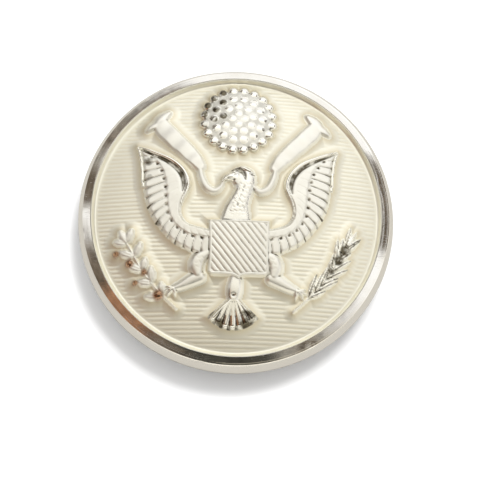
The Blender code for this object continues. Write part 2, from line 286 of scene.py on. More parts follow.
WING_EDGE = [
    (12.65, 8.4), (12.25, 6.9), (12.05, 5.2), (11.95, 3.6), (11.75, 2.1), (11.45, 0.7), (10.95, -0.6),
    (10.3, -1.8), (9.5, -2.9), (8.6, -3.9), (7.5, -4.8), (6.4, -5.4), (5.3, -5.9), (3.2, -6.2),
]
COVERT_EDGE = [
    (11.6, 7.8), (10.5, 6.4), (9.7, 5.2), (9.3, 4.0), (9.1, 2.9), (9.0, 1.7), (8.9, 0.5), (8.7, -0.6),
    (8.2, -1.7), (7.5, -2.6), (6.7, -3.2), (5.7, -3.7), (3.2, -4.1),
]
COVERT_ROOTS = [
    (10.4, 7.0), (9.0, 6.0), (8.2, 4.9), (7.7, 3.6), (7.5, 2.4), (7.6, 1.2), (7.6, 0.0), (7.3, -1.0),
    (6.7, -1.8), (6.0, -2.4), (5.2, -2.8), (4.2, -3.0),
]
WING_BAND = [
    (12.6, 8.55, 0.14, 0.4), (11.4, 7.95, 0.34, 0.58), (9.8, 7.2, 0.42, TOP), (8.3, 6.4, 0.46, TOP),
    (7.1, 5.3, 0.48, TOP), (6.4, 4.1, 0.46, TOP), (6.2, 3.0, 0.42, TOP), (6.5, 1.9, 0.34, 0.62),
    (6.95, 0.8, 0.22, 0.58), (7.1, -0.3, 0.15, 0.56), (6.75, -1.4, 0.14, 0.55), (5.8, -2.2, 0.14, 0.54),
    (3.2, -2.9, 0.14, 0.5),
]
# A groove along the inner side of each band, painted dark like every cut: a painted dark reflection.
BAND_SHADE = [
    (12.2, 8.0, 0.12, 0.12), (10.9, 7.35, 0.2, 0.22), (9.4, 6.6, 0.26, 0.26), (8.0, 5.6, 0.3, 0.28),
    (7.1, 4.5, 0.32, 0.3), (6.75, 3.3, 0.28, 0.26), (6.9, 2.2, 0.14, 0.12),
]
FEATHERS = 17
COVERTS = 15
LIP_POINTS = 18  # how much of a wing's edge, from its tip, has a bright lip
BAND_POINTS = 36  # how much of a wing's band, from its tip, is mirror bright


def grooves_between(starts, ends, count, start, end):
    """Spines from one path to another, evenly spaced; start and end are (half width, depth)."""
    spines = []
    for (ax, ay), (bx, by) in zip(even_points(starts, count), even_points(ends, count)):
        bend = 0.06 * sqrt((bx - ax) ** 2 + (by - ay) ** 2)
        middle = ((ax + bx) / 2 + bend, (ay + by) / 2, start[0], start[1])
        spines.append(smooth_path([(ax, ay, *start), middle, (bx, by, *end)], 4))
    return spines


def wings(relief):
    """Both wings: two smooth layers cut into feathers, and the polished leading band."""
    edge, coverts = smooth_path(WING_EDGE), smooth_path(COVERT_EDGE)
    band = smooth_path(WING_BAND)
    inner = band[::-1, :2]
    relief.plateau(np.vstack([edge, inner]), 0.4, both=True, edge=0.45)
    relief.plateau(np.vstack([coverts, inner]), 0.46, both=True, edge=0.3)
    relief.engrave(grooves_between(coverts, edge, FEATHERS, (0.085, 0.1), (0.2, 0.26)), both=True)
    roots = smooth_path(COVERT_ROOTS)
    relief.engrave(grooves_between(roots, coverts, COVERTS, (0.08, 0.03), (0.1, 0.09)), both=True)
    relief.engrave([spot(x, y, 0.17, 0.2) for x, y in even_points(coverts, COVERTS)], both=True)
    lip = [(x, y, 0.17, 0.45) for x, y in edge[:LIP_POINTS]]
    relief.stroke(lip, 0.2, both=True, polish=1.0, edge=0.17)
    relief.stroke(band[BAND_POINTS - 2:], 0.2, both=True, polish=0.45, edge=0.28)
    relief.stroke(band[:BAND_POINTS], 0.2, both=True, polish=1.0, edge=0.28)
    relief.engrave([smooth_path(BAND_SHADE)], both=True)


NECK = [
    (-0.1, -1.4, 2.0, 0.5), (0.05, 0.0, 1.65, 0.57), (0.45, 1.3, 1.4, TOP), (0.85, 2.4, 1.34, TOP),
    (0.95, 3.4, 1.54, TOP), (0.75, 4.1, 1.68, TOP),
]
CROWN = [(-0.55, 4.8, 0.36, 0.56), (0.45, 5.35, 0.44, TOP), (1.55, 4.95, 0.4, 0.56)]
BEAK = [
    (-0.4, 4.2, 0.8, 0.56), (-1.2, 4.1, 0.56, 0.52), (-1.8, 3.65, 0.34, 0.44), (-1.95, 3.05, 0.1, 0.36),
]
THIGH = [(3.6, -5.8, 0.8, 0.42), (4.6, -6.5, 1.1, 0.5), (4.95, -7.4, 1.15, 0.52), (4.75, -8.4, 0.9, 0.48)]
SHANK = [(4.5, -8.8, 1.0, 0.42), (5.5, -9.2, 1.0, 0.4), (6.7, -9.8, 0.8, 0.38), (7.7, -10.2, 0.62, 0.38)]
FOOT = SHANK[-1][:2]
TOES = ((1.0, 0.35), (1.2, -0.35), (0.8, -1.0), (-0.2, -1.05))
# Cuts over the crown and behind the head, painted dark like every cut: painted dark glints.
BROW = [
    (-1.0, 5.0, 0.12, 0.1), (-0.2, 5.2, 0.28, 0.28), (0.65, 4.75, 0.3, 0.28), (0.95, 3.8, 0.14, 0.14),
]
NAPE_MARK = [(1.75, 4.5, 0.16, 0.15), (2.15, 4.4, 0.12, 0.14)]
EYE = (-0.35, 4.5)


def bird(relief):
    """Neck, head and legs of the eagle, which looks to the left."""
    relief.stroke(smooth_path(NECK), 0.25, polish=0.6, edge=0.4)
    relief.stroke(smooth_path(CROWN), 0.1, polish=1.0, edge=0.3)
    relief.stroke(smooth_path(BEAK), 0.25, polish=0.9, edge=0.3)
    for leg in (SHANK, THIGH):
        relief.stroke(smooth_path(leg), 0.25, both=True, polish=0.4, edge=0.6)
    x, y = FOOT
    for dx, dy in TOES:
        toe = [(x, y, 0.36, 0.42), (x + dx * 0.7, y + dy * 0.5, 0.3, 0.42), (x + dx, y + dy, 0.1, 0.28)]
        relief.stroke(smooth_path(toe), 0.3, both=True, polish=0.6)


def bird_marks(relief):
    """Engraved eye, beak line, brow, ticks down the neck, and scales on neck and thighs."""
    x, y = relief.x, relief.y
    eye = np.hypot(x - EYE[0], y - EYE[1])
    relief.height -= 0.18 * ridge(eye, 0, 0.16)
    relief.height -= 0.05 * ridge(eye, 0.4, 0.08) * (eye < 0.7)
    beak_line = 3.95 + 0.1 * (x + 1.0)
    relief.height -= 0.09 * ridge(y, beak_line, 0.08) * ((x > -1.5) & (x < -0.55))
    neck = smoothstep(x, -1.4, -0.8) * smoothstep(-x, -3.0, -2.2)
    neck *= smoothstep(y, -1.2, -0.6) * smoothstep(-y, -3.9, -3.3)
    thigh = np.exp(-(((np.abs(x) - 4.5) / 0.7) ** 4 + (y + 7.0) ** 4))
    relief.height -= (0.06 * neck + 0.03 * thigh) * scale_pattern(x, y, 0.66, 0.6)
    marks = [smooth_path(BROW), NAPE_MARK]
    for i in range(5):
        tick_x, tick_y = 0.85 - 0.2 * i, 2.9 - 0.6 * i
        marks.append([(tick_x, tick_y, 0.11, 0.16), (tick_x - 0.1, tick_y - 0.25, 0.09, 0.12)])
    relief.engrave(marks)


def scale_pattern(x, y, width, length):
    """1 in the grooves between overlapping round scales, 0 on them."""
    row = np.floor(y / length)
    shift = (x / width + 0.5 * (row % 2)) % 1.0 - 0.5
    return ridge(y / length - row, 2.2 * shift ** 2, 0.16)


SHIELD_MIDDLE = 0.3
SHIELD_HALF = 3.95
SHIELD_TOP = -1.45
SHIELD_FOOT = -8.65
SHIELD_RIB = 0.8  # spacing of its slanting ribs
SHIELD_HEIGHT = 0.44


def shield(relief):
    """A plain shield: slanting ribs inside a raised border."""
    x = relief.x - SHIELD_MIDDLE
    half_width = np.abs(x)
    corner = 0.45 * np.clip((half_width - 2.9) / 0.9, 0, 2) ** 3
    foot = SHIELD_FOOT - 0.55 * np.exp(-half_width / 0.45) + corner
    waist = SHIELD_HALF - 0.12 * np.sin(pi * np.clip((SHIELD_TOP - relief.y) / 7.3, 0, 1))
    gap = np.maximum(np.maximum(half_width - waist, relief.y - SHIELD_TOP), foot - relief.y)
    index = np.nonzero(gap < HALO)[0]
    x, y, gap = x[index], relief.y[index], gap[index]
    phase = ((x + 0.8 * y) / SHIELD_RIB) % 1.0 - 0.5
    ribs = 0.1 * (1 - (2 * np.abs(phase)) ** 3)
    border = 0.12 * ridge(gap, -0.3, 0.13)
    bulge = 0.05 * (1 - (x / SHIELD_HALF) ** 2)
    value = SHIELD_HEIGHT + bulge + np.maximum(ribs * smoothstep(-gap, 0.42, 0.55), border)
    relief.raise_to(index, value * smoothstep(-gap, 0.0, 0.24), gap, 0.35)


FAN_HUB = (-0.25, -10.9)
FAN_CUT = ((1.0, 1.0, 0.07, 0.04), (2.6, 2.6, 0.1, 0.1), (4.2, 4.3, 0.26, 0.3))


def fan_point(degrees_at, across, down):
    """A point of the tail's fan, at that angle from straight down."""
    turn = radians(degrees_at)
    return FAN_HUB[0] + across * sin(turn), FAN_HUB[1] - down * cos(turn)


def tail(relief):
    """The rump and a fan of polished tail feathers."""
    rump = [(0, -9.0, 1.0, 0.38), (-0.1, -10.2, 1.2, 0.48), (-0.2, -11.4, 1.0, 0.44)]
    relief.stroke(smooth_path(rump), 0.3, edge=0.6)
    fan = [fan_point(angle, 4.15, 4.3) for angle in range(-50, 51, 5)]
    relief.plateau([(-0.9, -11.2), *fan, (0.5, -11.2)], 0.42, polish=0.95, edge=0.5)
    cuts = []
    for angle in range(-49, 50, 14):
        cuts.append([(*fan_point(angle, across, down), half, cut) for across, down, half, cut in FAN_CUT])
    relief.engrave([spot(FAN_HUB[0], FAN_HUB[1] - 0.1, 0.18, 0.26), *cuts])


# Each ring of beads: their number, the ring's radius, their radius and their rise; and for the
# inner rings their polish.
ROSETTE_MIDDLE = 12.25
OUTER_BEADS = (20, 4.33, 0.68, 0.55)
INNER_BEADS = ((14, 3.1, 0.54, 0.12, 1.0), (9, 1.93, 0.52, 0.09, 0.7), (4, 0.8, 0.48, 0.08, 0.6))
BEAD_GAP_SHADE = 0.105  # painted shade between the inner beads


def bead_distances(x, y, count, ring, radius, half_step):
    """For each bead of a ring, the points' distances from its middle in bead radii."""
    for i in range(count):
        angle = tau * (i + half_step) / count
        yield np.hypot(x - ring * sin(angle), y - ring * cos(angle)) / radius


def rosette(relief):
    """A round cushion of beads over the bird's head, with painted shade between the inner beads."""
    outer_radius = OUTER_BEADS[1] + OUTER_BEADS[2] + 0.09
    index = relief.near(relief.x, [(0, ROSETTE_MIDDLE)], outer_radius + HALO)
    x, y = relief.x[index], relief.y[index] - ROSETTE_MIDDLE
    away = np.hypot(x, y)
    gap = away - 4.5
    cushion = 0.8 - 0.55 * (away / 4.9) ** 2
    polish = np.full_like(x, 0.25)
    gap_shade = np.full_like(x, BEAD_GAP_SHADE)
    domes = np.zeros_like(x)
    for step, (count, ring, radius, rise, shine) in enumerate(INNER_BEADS):
        for off in bead_distances(x, y, count, ring, radius, 0.5 * (step == 0)):
            domes = np.maximum(domes, rise * (1 - off ** 2))
            polish = np.where(off < 1, shine, polish)
            gap_shade = np.minimum(gap_shade, BEAD_GAP_SHADE * smoothstep(off, 0.75, 1.0))
    height = (cushion + domes) * smoothstep(-gap, 0.0, 0.45)
    count, ring, radius, rise = OUTER_BEADS
    for off in bead_distances(x, y, count, ring, radius, 0.5):
        ball = rise * np.clip(1 - off ** 3, 0, 1) ** 0.6
        polish = np.where(ball > height, 1.0, polish)
        gap_shade = np.where(ball > height, 0.0, gap_shade)
        height = np.maximum(height, ball)
        gap = np.minimum(gap, (off - 1) * radius)
    relief.raise_to(index, height, gap, polish)
    # Between the inner beads the cut share holds painted shade, which the face's material paints dark.
    relief.cut[index] = np.where(gap < 0, gap_shade, relief.cut[index])


def ribbons(relief):
    """Plain ribbons beside the neck, which turn under and open to broad folded ends."""
    inner = [
        (1.75, 3.6, 0.3, 0.3), (2.15, 2.75, 0.48, 0.36), (2.9, 2.25, 0.6, 0.4), (3.75, 2.65, 0.62, 0.4),
        (4.35, 3.6, 0.6, 0.38), (4.7, 4.8, 0.55, 0.32), (4.8, 5.9, 0.45, 0.26),
    ]
    outer = [
        (4.75, 5.6, 0.85, 0.32), (5.4, 6.5, 1.08, 0.44), (6.1, 7.3, 1.16, 0.33), (6.9, 8.2, 1.22, 0.43),
        (7.7, 9.0, 1.25, 0.33), (8.5, 9.9, 1.28, 0.43), (9.3, 10.8, 1.28, 0.35), (9.9, 11.7, 1.15, 0.45),
    ]
    relief.stroke(smooth_path(inner), 0.4, 0.1, both=True, polish=0.25, edge=0.4)
    relief.stroke(smooth_path(outer), 0.75, 0.0, both=True, polish=0.3, edge=0.45, border=0.04)
    for roll in ([(8.9, 13.2, 0.62, 0.38), (9.7, 12.5, 0.95, 0.46), (10.3, 11.7, 0.9, 0.44)],
                 [(10.2, 11.6, 0.85, 0.44), (10.9, 11.3, 0.75, 0.44), (11.5, 10.8, 0.5, 0.34)]):
        relief.stroke(smooth_path(roll), 0.25, 0.1, both=True, polish=0.4, edge=0.5)


SPRAY_STEM = [(7.3, -12.7), (8.7, -11.4), (10.3, -9.7), (11.8, -7.7), (13.0, -5.6), (13.9, -4.1)]


def spray(relief, side, pairs, spread, length, width, polish, rib):
    """A stem with pairs of leaves, held in the claw on that side (-1 left, 1 right).

    rib is how deep each leaf's midrib is cut.
    """
    stem = smooth_path([(side * x, y) for x, y in SPRAY_STEM])
    relief.stroke([(x, y, 0.24, 0.34) for x, y in stem], 0.3, polish=0.5)
    places = even_points(stem, pairs, 0.22, 0.96)
    ribs = []
    for i, (x, y) in enumerate(places):
        before, after = places[max(i - 1, 0)], places[min(i + 1, pairs - 1)]
        heading = atan2(after[1] - before[1], after[0] - before[0])
        for turn in (-1, 1):
            lean = spread * (1 + 0.22 * sin(5.1 * i + turn))
            size = length * (1 + 0.16 * sin(3.7 * i + 2 * turn))
            spine = leaf(relief, x, y, heading + turn * lean, size, width, polish)
            ribs.append([(px, py, 0.1, rib) for px, py, *_ in spine])
    leaf(relief, *places[-1], heading, length, width, polish)
    relief.engrave(ribs)


LEAF = ((0.0, 0.25, 0.34), (0.3, 0.9, 0.38), (0.6, 1.0, 0.4), (0.85, 0.65, 0.36), (1.0, 0.2, 0.3))


def leaf(relief, x, y, heading, length, width, polish):
    """Raise one leaf and return its spine."""
    step_x, step_y = length * cos(heading), length * sin(heading)
    spine = [(x + step_x * along, y + step_y * along, width * half, up) for along, half, up in LEAF]
    relief.stroke(spine, 0.25, 0.12, polish=polish, edge=0.3)
    return spine


BERRIES = (
    (-9.6, -11.0, 0.74), (-12.5, -9.4, 0.42), (-15.0, -5.7, 0.48), (-11.4, -8.1, 0.42), (-13.3, -7.0, 0.6),
)


def sprays(relief):
    """A laurel spray with berries on the left and a palm frond on the right."""
    spray(relief, -1, pairs=5, spread=radians(42), length=2.0, width=0.68, polish=0.3, rib=0.05)
    # The frond's deep midribs are painted dark like every cut: painted dark glints.
    spray(relief, 1, pairs=8, spread=radians(21), length=2.9, width=0.42, polish=0.9, rib=0.2)
    for x, y, radius in BERRIES:
        relief.stroke(spot(x, y, radius, 0.5), 0.2, polish=1.0, edge=0.35)
        # A brown patch on each berry: a painted brown glint.
        relief.painted_brown_glint += np.exp(-(np.hypot(relief.x - x, relief.y - y) / radius) ** 6)


# Beads with a painted dark glint stand at a radius and a bearing, in degrees clockwise from the
# top of the rosette.  Each painted dark glint spot has a place, a radius and a depth of darkening.
DARK_GLINT_BEADS = (
    (4.38, 261), (4.38, 279), (4.38, 297), (4.38, 315), (4.38, 333), (3.12, 268), (3.12, 295), (3.12, 321),
    (1.95, 280),
)
DARK_GLINT_SPOTS = (
    (1.45, -13.9, 1.3, 0.19), (-1.9, -14.3, 0.6, 0.15), (12.9, -5.9, 0.8, 0.16), (13.7, -4.6, 0.8, 0.18),
    (11.9, -7.4, 0.6, 0.14), (-11.3, 6.3, 0.8, 0.14), (-11.1, 4.2, 0.6, 0.12), (-9.7, -2.0, 0.5, 0.12),
)


def paint_dark_glints(relief):
    """Painted dark glints on beads at the left of the rosette, and on the fan, the frond and a wing."""
    spots = list(DARK_GLINT_SPOTS)
    for ring, degrees_at in DARK_GLINT_BEADS:
        turn = radians(degrees_at)
        spots.append((ring * sin(turn), ROSETTE_MIDDLE + ring * cos(turn), 0.5, 0.24))
    # Painted dark glints, carried by the cut share, which the face's material paints dark.
    for x, y, radius, share in spots:
        away = np.hypot(relief.x - x, relief.y - y) / radius
        relief.cut = np.maximum(relief.cut, share * np.exp(-away ** 4))


def emblem(x, y):
    """All of the emblem over points (x, y), in the order in which its parts overlap."""
    relief = Relief(x, y)
    for part in (rosette, ribbons, sprays, wings, tail, bird, shield, bird_marks, paint_dark_glints):
        part(relief)
    return relief


# === the struck face ===
def field_lines(y):
    """Round raised lines with narrower grooves between them, from 0 to 1."""
    return (0.5 - 0.5 * np.cos(tau * y / LINE_PITCH)) ** 0.75


def box_blur(values, rows, columns):
    """Mean of each cell's neighbourhood, so many rows and columns to each side."""
    for axis, reach in ((0, rows), (1, columns)):
        pad = [(reach + 1, reach) if k == axis else (0, 0) for k in range(2)]
        total = np.cumsum(np.pad(values, pad, mode="edge"), axis)
        ends = np.take(total, range(2 * reach + 1, total.shape[axis]), axis)
        starts = np.take(total, range(total.shape[axis] - 2 * reach - 1), axis)
        values = (ends - starts) / (2 * reach + 1)
    return values


def grooves(grid_x, grid_y, x, y):
    """How deep each point lies in a groove or corner of the emblem, from 0 to 1."""
    rows = emblem(*(a.ravel() for a in np.meshgrid(grid_x, grid_y)))
    height = np.maximum(rows.height, 0).reshape(len(grid_y), len(grid_x))
    depth = np.clip((box_blur(height, 3, 2) - height) / 0.07, 0, 1)
    row = np.clip(np.rint((y - grid_y[0]) / GRID_Y).astype(int), 0, len(grid_y) - 1)
    column = np.clip(np.rint((x - grid_x[0]) / GRID_X).astype(int), 0, len(grid_x) - 1)
    return depth[row, column]


def face_height(x, y):
    """Return the face's level and its shares over points (x, y).

    The shares, from 0 to 1, say how polished, raised and hollow a point is (hollows get painted
    shade), how much painted brown glint it has, how much cut, painted shade and painted dark glint
    it holds, and how far it lies inside the emblem.
    """
    relief = emblem(x, y)
    radius = np.hypot(x, y)
    dome = DOME_CENTRE + np.sqrt(DOME_RADIUS ** 2 - np.minimum(radius, FIELD_RADIUS) ** 2)
    halo = HALO_HEIGHT * np.clip(1 - np.maximum(relief.gap, 0) / HALO, 0, 1) ** HALO_CURVE
    clear = smoothstep(relief.gap, 0.45, HALO) * smoothstep(FIELD_RADIUS - radius, 0.02, 0.45)
    lines = clear * (field_lines(y) - 0.6)
    edge = np.clip((radius - FIELD_RADIUS) / (FACE_RADIUS - FIELD_RADIUS), 0, 1)
    fillet = (RIM_TOP - 0.05 - FIELD_EDGE) * edge ** 1.7
    struck = LINE_HEIGHT * (1 + 0.4 * y / FIELD_RADIUS)
    level = dome + halo + np.maximum(relief.height, 0) + struck * lines + fillet
    polish = relief.polish * smoothstep(relief.height, 0.04, 0.22)
    polish = np.where(relief.gap < 0, polish, 0.45 * (edge > 0))
    # Painted shade: the fillet round the emblem and the grooves between the field's lines are tinted darker
    # tan.
    hollow = np.clip(1 - np.abs(relief.gap) / 0.9, 0, 1) ** 1.3 * (relief.gap > 0)
    hollow = np.maximum(hollow, clear * smoothstep(-lines, 0.0, 0.5) * 0.5)
    raised = smoothstep(relief.height, 0.08, 0.34)
    inside = smoothstep(-relief.gap, 0.1, 0.32)
    cuts_and_glints = smoothstep(relief.cut, 0.03, 0.18) * smoothstep(-relief.gap, -0.15, 0.05)
    return level, polish, raised, hollow, relief.painted_brown_glint, cuts_and_glints, inside


FACE_SHARES = ("polish", "raised", "hollow", "painted_brown_glint", "groove")
FACE_SEGMENTS = 600  # vertices round each ring of the face's edge


def face_grid(step):
    """Places from one side of the field to the other, in whole steps from its middle."""
    reach = round(FIELD_RADIUS / step)
    return np.arange(-reach, reach + 1) * step


def struck_face():
    """The face as a closed shell: fine top, coarse flange and underside."""
    grid_x, grid_y = face_grid(GRID_X), face_grid(GRID_Y)
    points = np.stack(np.meshgrid(grid_x, grid_y), -1).reshape(-1, 2)
    points = points[np.hypot(*points.T) < FIELD_RADIUS - 0.34]
    edge_rings = np.linspace(FIELD_RADIUS - 0.26, FACE_RADIUS, 9)
    rings = [ring_points(radius, FACE_SEGMENTS) for radius in edge_rings]
    points = np.vstack([points, *rings])
    flat, _, triangles, *_ = delaunay_2d_cdt([Vector(p) for p in points.tolist()], [], [], 0, 1e-6)
    flat = np.array([tuple(p) for p in flat])
    level, *shares, cuts_and_glints, inside = face_height(flat[:, 0], flat[:, 1])
    # Cuts and corners of the emblem are painted dark: partly oxide, partly painted shade and dark glints.
    shares.append(np.maximum(cuts_and_glints, inside * grooves(grid_x, grid_y, flat[:, 0], flat[:, 1])))
    top = np.column_stack([flat, level])

    rim_index = np.nonzero(np.hypot(*flat.T) > FACE_RADIUS - 0.01)[0]
    rim_index = rim_index[np.argsort(np.arctan2(flat[rim_index, 1], flat[rim_index, 0]) % tau)]
    inner = DOME_RADIUS - SHEET
    under = [
        (FACE_RADIUS, RIM_TOP - 0.61),
        (FLANGE_RADIUS, RIM_TOP - 0.88),
        (FLANGE_RADIUS, FACE_LOW.z),
        (FIELD_RADIUS - 0.2, FACE_LOW.z),
    ]
    under += [(r, DOME_CENTRE + sqrt(inner ** 2 - r ** 2)) for r in (FIELD_RADIUS - 0.45, 13.0, 8.0, 3.0)]
    verts = [top]
    faces = [tuple(t) for t in triangles]
    loop = list(rim_index)
    total = len(top)
    for radius, height in under:
        ring = ring_points(radius, FACE_SEGMENTS)
        verts.append(np.column_stack([ring, np.full(FACE_SEGMENTS, height)]))
        fresh = list(range(total, total + FACE_SEGMENTS))
        total += FACE_SEGMENTS
        faces += bridge(loop, fresh)
        loop = fresh
    verts.append([(0.0, 0.0, DOME_CENTRE + inner)])
    faces += cap(loop[::-1], total)
    face = mesh_object("struck_face", np.vstack(verts), faces)
    count = len(face.data.vertices)
    for name, values in zip(FACE_SHARES, shares):
        layer = face.data.attributes.new(name, "FLOAT", "POINT")
        layer.data.foreach_set("value", np.concatenate([values, np.zeros(count - len(values))]))
    return face


# === turned pieces ===
def arc(start, control, end, steps):
    """Points of a quadratic curve from start to end, without the end."""
    points = []
    for t in np.arange(steps) / steps:
        a, b, c = (1 - t) ** 2, 2 * t * (1 - t), t * t
        points.append(tuple(a * s + b * m + c * e for s, m, e in zip(start, control, end)))
    return points


def straight_run(start, end, step):
    """Points from start towards end, no further apart than step, without the end."""
    count = max(1, int(np.ceil(np.hypot(end[0] - start[0], end[1] - start[1]) / step)))
    return [tuple(s + (e - s) * i / count for s, e in zip(start, end)) for i in range(count)]


def revolve(name, section, segments, shape=None, centre=(0.0, 0.0), sharp=32):
    """Turn a section of (radius, z) about a vertical axis, running out, down and back in.

    A section that starts on the axis is capped there.  shape(radius, angle, z) may return a
    changed radius and z for each point.
    """
    section = np.array(section, float)
    solid = section[0, 0] < 1e-6
    rows = section[1:-1] if solid else section
    angle = np.arange(segments) / segments * tau
    radius = np.repeat(rows[:, :1], segments, 1)
    height = np.repeat(rows[:, 1:], segments, 1)
    turn = np.repeat(angle[None], len(rows), 0)
    if shape:
        radius, height = shape(radius, turn, height)
    across, along = centre[0] + radius * np.cos(turn), centre[1] + radius * np.sin(turn)
    verts = np.stack([across, along, height], -1).reshape(-1, 3)
    loops = np.arange(len(verts)).reshape(-1, segments).tolist()
    faces = []
    for first, second in zip(loops, loops[1:]):
        faces += bridge(first, second)
    if solid:
        faces += cap(loops[0], len(verts)) + cap(loops[-1][::-1], len(verts) + 1)
        verts = np.vstack([verts, [(*centre, section[0, 1])], [(*centre, section[-1, 1])]])
    else:
        faces += bridge(loops[-1], loops[0])
    obj = mesh_object(name, verts, faces)
    obj.data.set_sharp_from_angle(angle=radians(sharp))
    return obj


# The angle, radius, depth and width of each small dent in the rim.
DENTS = (
    (-60, 19.2, 0.07, 0.45), (-102, 19.75, 0.1, 0.4), (188, 19.6, 0.09, 0.4), (14, 19.0, 0.03, 0.9),
    (65, 19.7, 0.05, 0.5),
)


def rim_wear(radius, turn, height):
    """Press the dents into the outer side of the rim."""
    for degrees_at, at_radius, depth, width in DENTS:
        around = (turn - radians(degrees_at) + pi) % tau - pi
        away = np.hypot(around * at_radius, (radius - at_radius) * 1.4)
        outside = (radius > RIM_BORE - 0.08) & (height > REAR_PLANE + 0.6)
        push = depth * ridge(away, 0, width) * outside
        radius = radius - 0.5 * push
        height = height - 0.5 * push * (radius < BADGE_RADIUS - 0.4)
    return radius, height


TOOL_MARK = 0.008  # height of the faint ring near the bevel's crease


def polished_rim():
    """The rolled rim: crowned bevel, crease, rounded skirt and the lip turned under."""
    crease = (CREASE_RADIUS, RIM_TOP - CREASE_DROP)
    crown = ((RIM_BORE + CREASE_RADIUS) / 2 + 0.02, RIM_TOP - CREASE_DROP / 2 + 0.04)
    widest = (BADGE_RADIUS, EQUATOR)
    foot = (BADGE_RADIUS - 0.7, REAR_PLANE)
    lip_bore = 17.2
    lip_top = REAR_PLANE + 0.45
    cavity = BADGE_RADIUS - 0.5  # widest radius of the hollow inside the roll
    section = [(RIM_BORE, RIM_TOP - 0.06), (RIM_BORE + 0.02, RIM_TOP - 0.015)]
    bevel_end = (crease[0] - 0.03, crease[1] + 0.01)
    skirt_start = (crease[0] + 0.04, crease[1] - 0.05)
    bevel = arc((RIM_BORE + 0.05, RIM_TOP - 0.002), crown, bevel_end, 24)
    section += [(r, z + TOOL_MARK * ridge(r, CREASE_RADIUS - 0.27, 0.08)) for r, z in bevel]
    section += arc(bevel_end, crease, skirt_start, 3)
    section += arc(skirt_start, (BADGE_RADIUS - 0.01, crease[1] - 0.75), widest, 14)
    section += arc(widest, (BADGE_RADIUS, REAR_PLANE + 0.02), foot, 9)
    section += [foot, (lip_bore + 0.06, REAR_PLANE), (lip_bore, REAR_PLANE + 0.06), (lip_bore, lip_top)]
    section += [(cavity - 0.25, lip_top), (cavity, EQUATOR), (cavity - 0.25, EQUATOR + 1.05)]
    section += [(cavity - 0.55, RIM_TOP - 0.82), (RIM_BORE, RIM_TOP - 0.55)]
    return revolve("polished_rim", section, 420, rim_wear)


def thread_radius(turn, height, growth):
    """Radius of a right-hand thread with flat crests and roots, at this angle and level."""
    phase = (height / THREAD_PITCH - turn / tau) % 1.0
    rising = np.interp(phase, [0.0, 0.25, 0.5625, 0.6875, 1.0], [0.0, 0.0, 1.0, 1.0, 0.0])
    return THREAD_RADIUS - THREAD_DEPTH * (1 - rising) + growth


def turned_post():
    """The M4 post with its flanged head, plain shank, thread and pointed start."""
    head = 4.5
    point = 1.4
    shank = THREAD_RADIUS + 0.1
    shank_end = REAR_PLANE - 0.35
    head_rear = POST_HIGH.z - 0.8
    tip = POST_LOW.z

    def cut(radius, turn, height):
        thread = thread_radius(turn, height, 0.0)
        start = point + 0.05 + height - tip
        threaded = (height < shank_end - 0.02) & (radius > point - 0.2)
        return np.where(threaded, np.minimum(np.minimum(thread, start), radius), radius), height

    section = [(0.0, POST_HIGH.z), (head - 0.3, POST_HIGH.z), (head, POST_HIGH.z - 0.3), (head, head_rear)]
    section += [(shank, head_rear), (shank, shank_end), (THREAD_RADIUS, shank_end - 0.04)]
    section += straight_run((THREAD_RADIUS, shank_end - 0.08), (THREAD_RADIUS, tip), THREAD_PITCH / 16)
    section += [(point, tip), (point - 0.5, tip), (0.0, tip + 0.03)]
    return revolve("turned_post", section, 72, cut, sharp=50)


NUT_TEETH = 60
KNURL_DEPTH = 0.34


def knurled_nut():
    """The thumb nut: straight-knurled disc, neck, swaged lip and threaded bore."""
    rim, top = NUT_HIGH.x, NUT_HIGH.z
    disc, neck, lip = 2.0, 3.3, 3.8
    bore = THREAD_RADIUS + THREAD_CLEARANCE

    def cut(radius, turn, height):
        tooth = np.abs(np.sin(turn * NUT_TEETH / 2)) ** 0.8
        knurled = np.minimum(radius, rim - KNURL_DEPTH * (1 - tooth))
        radius = np.where(radius > rim - 0.45, knurled, radius)
        threaded = thread_radius(turn, height, THREAD_CLEARANCE)
        return np.where(radius < bore + 0.05, threaded, radius), height

    section = [(bore + 0.25, top), (lip - 0.18, top), (lip - 0.03, top - 0.05), (lip, top - 0.16)]
    section += [(lip - 0.04, top - 0.29), (neck + 0.06, top - 0.3), (neck, top - 0.36)]
    section += [(neck, disc + 0.08), (neck + 0.1, disc)]
    section += [(5.6, disc), (5.8, disc - 0.12), (6.6, disc - 0.12), (6.8, disc), (7.35, disc)]
    section += [(7.55, disc - 0.06), (rim, disc - 0.42)]
    section += straight_run((rim, disc - 0.5), (rim, 0.5), 0.25)
    section += [(rim, 0.42), (7.55, 0.06), (7.35, 0.0), (6.9, 0.0), (6.75, 0.1), (4.0, 0.22)]
    section += [(3.8, 0.2), (3.5, 0.0), (bore + 0.25, 0.0)]
    section += straight_run((bore, 0.2), (bore, top - 0.2), THREAD_PITCH / 14)
    return revolve("knurled_nut", section, 360, cut, sharp=40)


